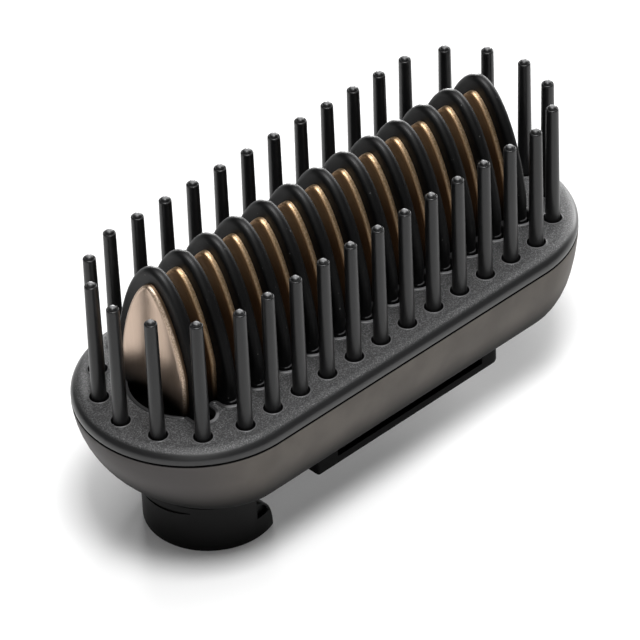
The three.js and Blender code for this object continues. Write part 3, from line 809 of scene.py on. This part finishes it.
def coverFinish():
    look = {
        # painted shade: the cover is near black below the shoulder's foot, where it sits in the seam with the
        # shell
        'black': (0.016, 0.016, 0.0165), 'shoulder': (0.015, 0.015, 0.0154), 'seamShade': (0.002, 0.002, 0.002),
        # the grain is real, but the grained deck is painted lighter than the plain black for its sheen, and
        # its bright specks are painted glints
        'grain': (0.029, 0.029, 0.0296), 'grainGlint': (0.2, 0.2, 0.204),
        # painted highlight: the raised lips round the slot and the pin holes are painted lighter than the
        # deck, most at the notches' far ends
        'lip': (0.03, 0.03, 0.031), 'rim': (0.11, 0.11, 0.112), 'notch': (0.17, 0.17, 0.174),
        'smooth': 0.33, 'grained': 0.5, 'grainedSpread': 0.15, 'shoulderGrain': 0.85, 'smoothGrain': 0.03,
        'grainSize': 0.27, 'speckSize': 0.3, 'grainDetail': 3, 'grainRoughness': 0.65, 'speck': (0.42, 0.78),
        'reliefDepth': 0.11, 'reliefStrength': 1.0,
        'edge': (23.1, 23.3), 'holes': (16.5, 16.6), 'notches': (12.5, 13.6),
        'deckRise': (38.2, 38.29), 'deckTop': (38.32, 38.38), 'lipRise': (38.33, 38.42),
        'shoulderRise': (37.3, 37.9), 'seamTop': (35.25, 35.6),
    }
    finish = Finish('grainedBlack', look['black'], Roughness=look['grained'])
    x, y, z = finish.axes('XYZ')
    # radius is the distance from the deck's middle line, round the ends too
    overhang = finish.sum('MAXIMUM', x.size() - mm(head['endCentre']), 0)
    radius = finish.sum('SQRT', overhang * overhang + y * y, 0)
    outer = radius.across(look['edge'])
    level = z.across(look['deckRise']) * (1 - z.across(look['deckTop']))
    deck = outer * look['shoulderGrain'] * z.across(look['shoulderRise']) + (1 - outer) * level
    grain = finish.noise(look['grainSize'], look['grainDetail'], look['grainRoughness'])
    speck = finish.noise(look['speckSize'], look['grainDetail'], look['grainRoughness'])
    # painted sheen and painted glints on the grained deck and the shoulder bead's top
    grainWithGlints = finish.blend(speck.rise(look['speck']), look['grain'], look['grainGlint'])
    # painted highlight on the lips
    slotLip = finish.blend(y.size().across(look['notches']), look['lip'], look['notch'])
    lipHighlight = finish.blend(radius.across(look['holes']), slotLip, look['rim'])
    lip = z.across(look['lipRise']) * (1 - outer)
    plain = finish.blend(lip, finish.blend(outer, look['black'], look['shoulder']), lipHighlight)
    # painted shade in the seam
    finish.feed('Base Color', finish.blend(z.across(look['seamTop']), look['seamShade'],
                                           finish.blend(deck, plain, grainWithGlints)))
    finish.feed('Roughness', look['smooth'] + deck * (look['grained'] - look['smooth']
                                                      + grain.swing(look['grainedSpread'])))
    finish.relief(deck * grain + (1 - deck) * look['smoothGrain'] * grain,
                  look['reliefDepth'], look['reliefStrength'])
    return finish.material


def pinFinish():
    look = {
        'black': (0.0052, 0.0052, 0.0055), 'pale': (0.0078, 0.0078, 0.0082),
        # painted highlight: the tips are painted lighter for their sheen, and the tops of the domes much
        # lighter for the bright spot on them
        'tip': (0.012, 0.012, 0.0125), 'dome': (0.27, 0.27, 0.274),
        'cloudSize': 2.5, 'cloudStretch': (1, 1, 0.25), 'cloud': (0.35, 0.7),
        'tipRise': (67.6, 67.9), 'domeRise': (68.5, 68.92),
        'roughness': 0.34, 'tipRoughness': 0.4, 'fineRoughness': 0.08,
        'fineSize': 0.17, 'reliefDepth': 0.012, 'reliefStrength': 0.6,
    }
    finish = Finish('satinPins', look['black'], Roughness=look['roughness'], Specular_IOR_Level=0.44)
    [z] = finish.axes('Z')
    cloud = finish.noise(look['cloudSize'], stretch=look['cloudStretch'])
    fine = finish.noise(look['fineSize'])
    tip = z.across(look['tipRise'])
    body = finish.blend(cloud.rise(look['cloud']), look['black'], look['pale'])
    # painted highlight on the tips and dome tops
    end = finish.blend(z.across(look['domeRise']), look['tip'], look['dome'])
    finish.feed('Base Color', finish.blend(tip, body, end))
    finish.feed('Roughness', look['roughness'] + fine.swing(look['fineRoughness'])
                + tip * (look['tipRoughness'] - look['roughness']))
    finish.relief(fine * (1 - tip), look['reliefDepth'], look['reliefStrength'])
    return finish.material


def finFinish():
    look = {
        # painted highlight: a thin light line on the ledge at each fin's foot; the light motes are real dust
        'black': (0.0018, 0.0018, 0.002), 'dust': (0.12, 0.12, 0.118), 'ledgeHighlight': (0.08, 0.08, 0.082),
        'moteSize': 0.5, 'mote': (0.84, 0.88),
        'ledgeLow': (39.02, 39.08), 'ledgeHigh': (39.26, 39.32), 'ledgeReach': (12.9, 13.1),
        'crown': 0.55, 'crownRise': (59, 71.5),
        'roughness': 0.48, 'cloudSize': 6, 'cloudRoughness': 0.1, 'speckSize': 0.3, 'speckRoughness': 0.08,
        'reliefDepth': 0.012, 'reliefStrength': 0.5,
    }
    finish = Finish('softBlackFins', look['black'], Roughness=look['roughness'], Specular_IOR_Level=0.15,
                    Coat_Roughness=0.5)
    y, z = finish.axes('YZ')
    cloud = finish.noise(look['cloudSize'], detail=3)
    speck = finish.noise(look['speckSize'], roughness=0.6)
    mote = finish.noise(look['moteSize'], detail=0)
    # painted highlight on the foot's ledge
    ledgeHighlight = z.across(look['ledgeLow']) * (1 - z.across(look['ledgeHigh']))
    ledgeHighlight = ledgeHighlight * y.size().across(look['ledgeReach'])
    dusty = finish.blend(mote.rise(look['mote']), look['black'], look['dust'])
    finish.feed('Base Color', finish.blend(ledgeHighlight, dusty, look['ledgeHighlight']))
    finish.feed('Roughness', look['roughness'] + cloud.swing(look['cloudRoughness'])
                + speck.swing(look['speckRoughness']))
    finish.feed('Coat Weight', look['crown'] * z.across(look['crownRise']))
    finish.relief(speck, look['reliefDepth'], look['reliefStrength'])
    return finish.material


def plateFinish():
    look = {
        # painted shade: the near-black colour on this line darkens the plates low down
        'face': (0.5, 0.38, 0.295), 'pale': (0.53, 0.405, 0.32), 'lowShade': (0.012, 0.008, 0.006),
        # painted highlight and shade: the rounded rims are painted much lighter than the face, with painted
        # glints, and the side wall behind them is painted dark
        'edge': (0.9, 0.74, 0.6), 'edgeDeep': (0.52, 0.38, 0.27), 'wall': (0.22, 0.145, 0.09),
        # on the plates behind the first, which stand in its shade
        'innerEdge': (0.9, 0.68, 0.46), 'innerDeep': (0.55, 0.37, 0.2),
        'shaded': (0.11, 0.054, 0.024), 'lit': (0.34, 0.2, 0.1), 'fade': 0.6,
        # depths back from a plate's face
        'faceStart': 0.05, 'rounded': (0.07, 0.2), 'shadedEdge': (0.15, 0.8), 'wallDepth': (0.6, 1.0),
        'inner': (-50, -47), 'high': (54, 68), 'darkTop': (38.5, 48),
        'brushSize': 0.35, 'brushStretch': (1, 1, 0.06), 'brush': (0.3, 0.75),
        'fineSize': 0.32, 'sparkle': (0.38, 0.66), 'satinLoss': 0.3,
        'faceRoughness': 0.28, 'edgeRoughness': 0.5, 'shadedRoughness': 0.46,
        'brushRoughness': 0.02, 'fineRoughness': 0.1,
        'brushRelief': 0.3, 'edgeRelief': 2, 'reliefDepth': 0.0016, 'reliefStrength': 0.6,
    }
    finish = Finish('champagneMetal', look['face'], Metallic=1.0, Roughness=look['faceRoughness'])
    x, z = finish.axes('XZ')
    front = mm(plate['front'] - look['faceStart'])
    depth = finish.sum('FLOORED_MODULO', x - front, mm(head['finPitch']))
    rounded = depth.across(look['rounded'])
    wall = depth.across(look['wallDepth'])
    brushed = finish.noise(look['brushSize'], detail=3, roughness=0.6, stretch=look['brushStretch'])
    fine = finish.noise(look['fineSize'], detail=3, roughness=0.65)
    sparkle = fine.rise(look['sparkle'])
    inner = x.across(look['inner'])
    high = z.across(look['high'])
    satin = (1 - rounded) * inner
    face = finish.blend(brushed.rise(look['brush']), look['face'], look['pale'])
    shaded = finish.blend(high, look['shaded'], look['lit'])
    # painted highlight on the rounded rims, with painted glints as the sparkle
    edge = finish.blend(inner, finish.blend(sparkle, look['edgeDeep'], look['edge']),
                        finish.blend(sparkle, look['innerDeep'], look['innerEdge']))
    # painted shade: the first plate's side wall is painted dark, and the rims of the plates behind it darken
    # lower down
    shadedRim = finish.blend(look['fade'] * inner * (1 - high), edge, look['wall'])
    rim = finish.blend(wall * (1 - inner), shadedRim, look['wall'])
    rim = finish.blend(inner * (1 - depth.across(look['shadedEdge'])), rim, shaded)
    metal = finish.blend(rounded, finish.blend(inner, face, shaded), rim)
    # painted shade: the plates are painted near black towards the deck and inside the slot
    finish.feed('Base Color', finish.blend(z.across(look['darkTop']), look['lowShade'], metal))
    finish.feed('Metallic', 1 - look['satinLoss'] * satin)
    finish.feed('Roughness', look['faceRoughness'] + rounded * (look['edgeRoughness'] - look['faceRoughness'])
                + satin * (look['shadedRoughness'] - look['faceRoughness'])
                + brushed.swing(look['brushRoughness']) + rounded * fine.swing(look['fineRoughness']))
    finish.relief(brushed * look['brushRelief'] + rounded * fine * look['edgeRelief'],
                  look['reliefDepth'], look['reliefStrength'])
    return finish.material


def collarFinish():
    look = {
        # painted shade: the collar darkens to near black towards its bottom rim on the floor
        'black': (0.0068, 0.0068, 0.0069), 'low': (0.0006, 0.0006, 0.0006), 'rise': (1, 12),
        'roughness': 0.5, 'cloudSize': 5, 'cloudRoughness': 0.1, 'fineSize': 0.2, 'fineRoughness': 0.06,
        'reliefDepth': 0.005, 'reliefStrength': 0.5,
    }
    finish = Finish('satinCollar', look['black'], Roughness=look['roughness'], Specular_IOR_Level=0.1)
    [z] = finish.axes('Z')
    cloud = finish.noise(look['cloudSize'])
    fine = finish.noise(look['fineSize'])
    # painted shade towards the collar's bottom
    finish.feed('Base Color', finish.blend(z.across(look['rise']), look['low'], look['black']))
    finish.feed('Roughness', look['roughness'] + cloud.swing(look['cloudRoughness'])
                + fine.swing(look['fineRoughness']))
    finish.relief(fine, look['reliefDepth'], look['reliefStrength'])
    return finish.material


def railFinish():
    look = {
        'black': (0.0006, 0.0006, 0.0006), 'pale': (0.0012, 0.0012, 0.0012),
        'cloudSize': 7, 'cloudStretch': (0.3, 1, 1), 'cloud': (0.35, 0.7),
        'roughness': 0.6, 'cloudRoughness': 0.12, 'fineSize': 0.25, 'fineRoughness': 0.05,
        'reliefDepth': 0.004, 'reliefStrength': 0.5,
    }
    finish = Finish('satinRail', look['black'], Roughness=look['roughness'], Specular_IOR_Level=0.04)
    cloud = finish.noise(look['cloudSize'], stretch=look['cloudStretch'])
    fine = finish.noise(look['fineSize'])
    finish.feed('Base Color', finish.blend(cloud.rise(look['cloud']), look['black'], look['pale']))
    finish.feed('Roughness', look['roughness'] + cloud.swing(look['cloudRoughness'])
                + fine.swing(look['fineRoughness']))
    finish.relief(fine, look['reliefDepth'], look['reliefStrength'])
    return finish.material


def plainFinish(name, look, metallic=0.0):
    # for the inner pieces, which keep their CAD shapes
    finish = Finish(name, look['color'], Metallic=metallic, Roughness=look['roughness'])
    fine = finish.noise(look['fineSize'])
    finish.feed('Roughness', look['roughness'] + fine.swing(look['fineRoughness']))
    finish.relief(fine, look['reliefDepth'], look['reliefStrength'])
    return finish.material


def rackFinish():
    look = {'color': (0.008, 0.008, 0.008), 'roughness': 0.55, 'fineSize': 0.4, 'fineRoughness': 0.1,
            'reliefDepth': 0.01, 'reliefStrength': 0.4}
    return plainFinish('innerBlack', look)


def steelFinish():
    look = {'color': (0.5, 0.5, 0.5), 'roughness': 0.35, 'fineSize': 0.2, 'fineRoughness': 0.15,
            'reliefDepth': 0.006, 'reliefStrength': 0.4}
    return plainFinish('screwSteel', look, 1.0)


# Putting the pieces in their places

def dress(piece, material):
    piece.data.materials.clear()
    piece.data.materials.append(material)


def settle(piece, material, node):
    dress(piece, material)
    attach(piece, 'root')
    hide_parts(node)


settle(makeShell(), shellFinish(), 'lower_shell')
print("shell made")
settle(makeCover(), coverFinish(), 'top_cover')
print("cover made")
pinBlack = pinFinish()
combNodes = {'pinsFront': 'front_pin_comb', 'pinsRear': 'rear_pin_comb',
             'pinsLeft': 'left_pin_comb', 'pinsRight': 'right_pin_comb'}
for name, comb in makePins().items():
    settle(comb, pinBlack, combNodes[name])
print("pins made")

finBlack, plateMetal = finFinish(), plateFinish()
for kind, master, material, slot, node in (
        ('fin', makeFin(), finBlack, 'fins', 'guard_fin'),
        ('plate', makePlate(), plateMetal, 'plates', 'heat_plate')):
    for number, x in enumerate(finPlaces, 1):
        piece = spread(f'{kind}{number:02d}', master, [(x, 0)])
        settle(piece, material, f'{node}_{number:02d}')
    bpy.data.objects.remove(master)
print("fins and plates made")

settle(makeCollar(), collarFinish(), 'inlet_collar')
settle(makeRail(), railFinish(), 'mount_rail')
dress(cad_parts['fin_rack'], rackFinish())
steel = steelFinish()
for number in range(1, 5):
    dress(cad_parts[f'rack_screw_{number}'], steel)
print("collar, rail and inner pieces made")


# Floor, lights and camera: metres and watts, but millimetres for the paper's clouds, lens and sensor.
# A light has its name, place, width and power.
studio = {
    'floorSize': 4, 'floorDrop': 0.00005, 'paper': (0.92, 0.92, 0.92), 'palePaper': (0.94, 0.94, 0.94),
    'paperRoughness': 0.9, 'paperCloud': 60, 'floorGlow': 0.07, 'world': 0.012, 'white': (1, 1, 1, 1),
    'aim': (0, 0, 0.03),
    'lights': (
        ('overhead', (0.0, 0.0, 1.2), 1.2, 6.2),
        ('keyLight', (-0.186, -0.298, 1.148), 0.38, 10.6),
        ('backRight', (1.136, 0.2, 0.331), 0.7, 11.9),
        ('backLow', (0.764, 0.91, 0.167), 0.28, 8.9),
        ('cameraFill', (-0.709, -0.76, 0.6), 0.6, 1.0),
    ),
}
view = {
    'place': (-0.55717, -0.602738, 0.670123), 'lens': 267.787, 'sensor': 36, 'clip': (0.05, 20),
    'right': (0.718731, -0.694554, -0.031952),
    'down': (-0.445398, -0.424641, -0.788226),
    'ahead': (0.533898, 0.580754, -0.614555),
}


def makeFloor():
    clearSelection()
    bpy.ops.mesh.primitive_plane_add(size=studio['floorSize'], location=(0, 0, -studio['floorDrop']))
    floor = bpy.context.object
    floor.name = 'floor'
    bpy.ops.object.transform_apply(location=True)
    paper = Finish('palePaper', studio['paper'], Roughness=studio['paperRoughness'],
                   Emission_Color=studio['white'], Emission_Strength=studio['floorGlow'])
    cloud = paper.noise(studio['paperCloud'])
    paper.feed('Base Color', paper.blend(cloud, studio['paper'], studio['palePaper']))
    dress(floor, paper.material)


def makeLights():
    for name, place, width, power in studio['lights']:
        lamp = bpy.data.lights.new(name, 'AREA')
        lamp.shape = 'SQUARE'
        lamp.size = width
        lamp.energy = power
        holder = bpy.data.objects.new(name, lamp)
        holder.location = place
        holder.rotation_euler = (Vector(studio['aim']) - Vector(place)).to_track_quat('-Z', 'Y').to_euler()
        holder.visible_camera = False
        bpy.context.scene.collection.objects.link(holder)
    world = bpy.data.worlds.new('softbox')
    world.use_nodes = True
    background = world.node_tree.nodes['Background']
    background.inputs['Color'].default_value = studio['white']
    background.inputs['Strength'].default_value = studio['world']
    bpy.context.scene.world = world
    bpy.context.scene.view_settings.view_transform = 'Standard'


def makeCamera():
    lens = bpy.data.cameras.new('camera')
    lens.lens = view['lens']
    lens.sensor_width = view['sensor']
    lens.clip_start, lens.clip_end = view['clip']
    camera = bpy.data.objects.new('camera', lens)
    axes = [Vector(view['right']), -Vector(view['down']), -Vector(view['ahead'])]
    turn = Matrix(axes).transposed().to_4x4()
    camera.matrix_world = Matrix.Translation(view['place']) @ turn
    bpy.context.scene.collection.objects.link(camera)
    bpy.context.scene.camera = camera


makeFloor()
makeLights()
makeCamera()
print("studio and camera set")
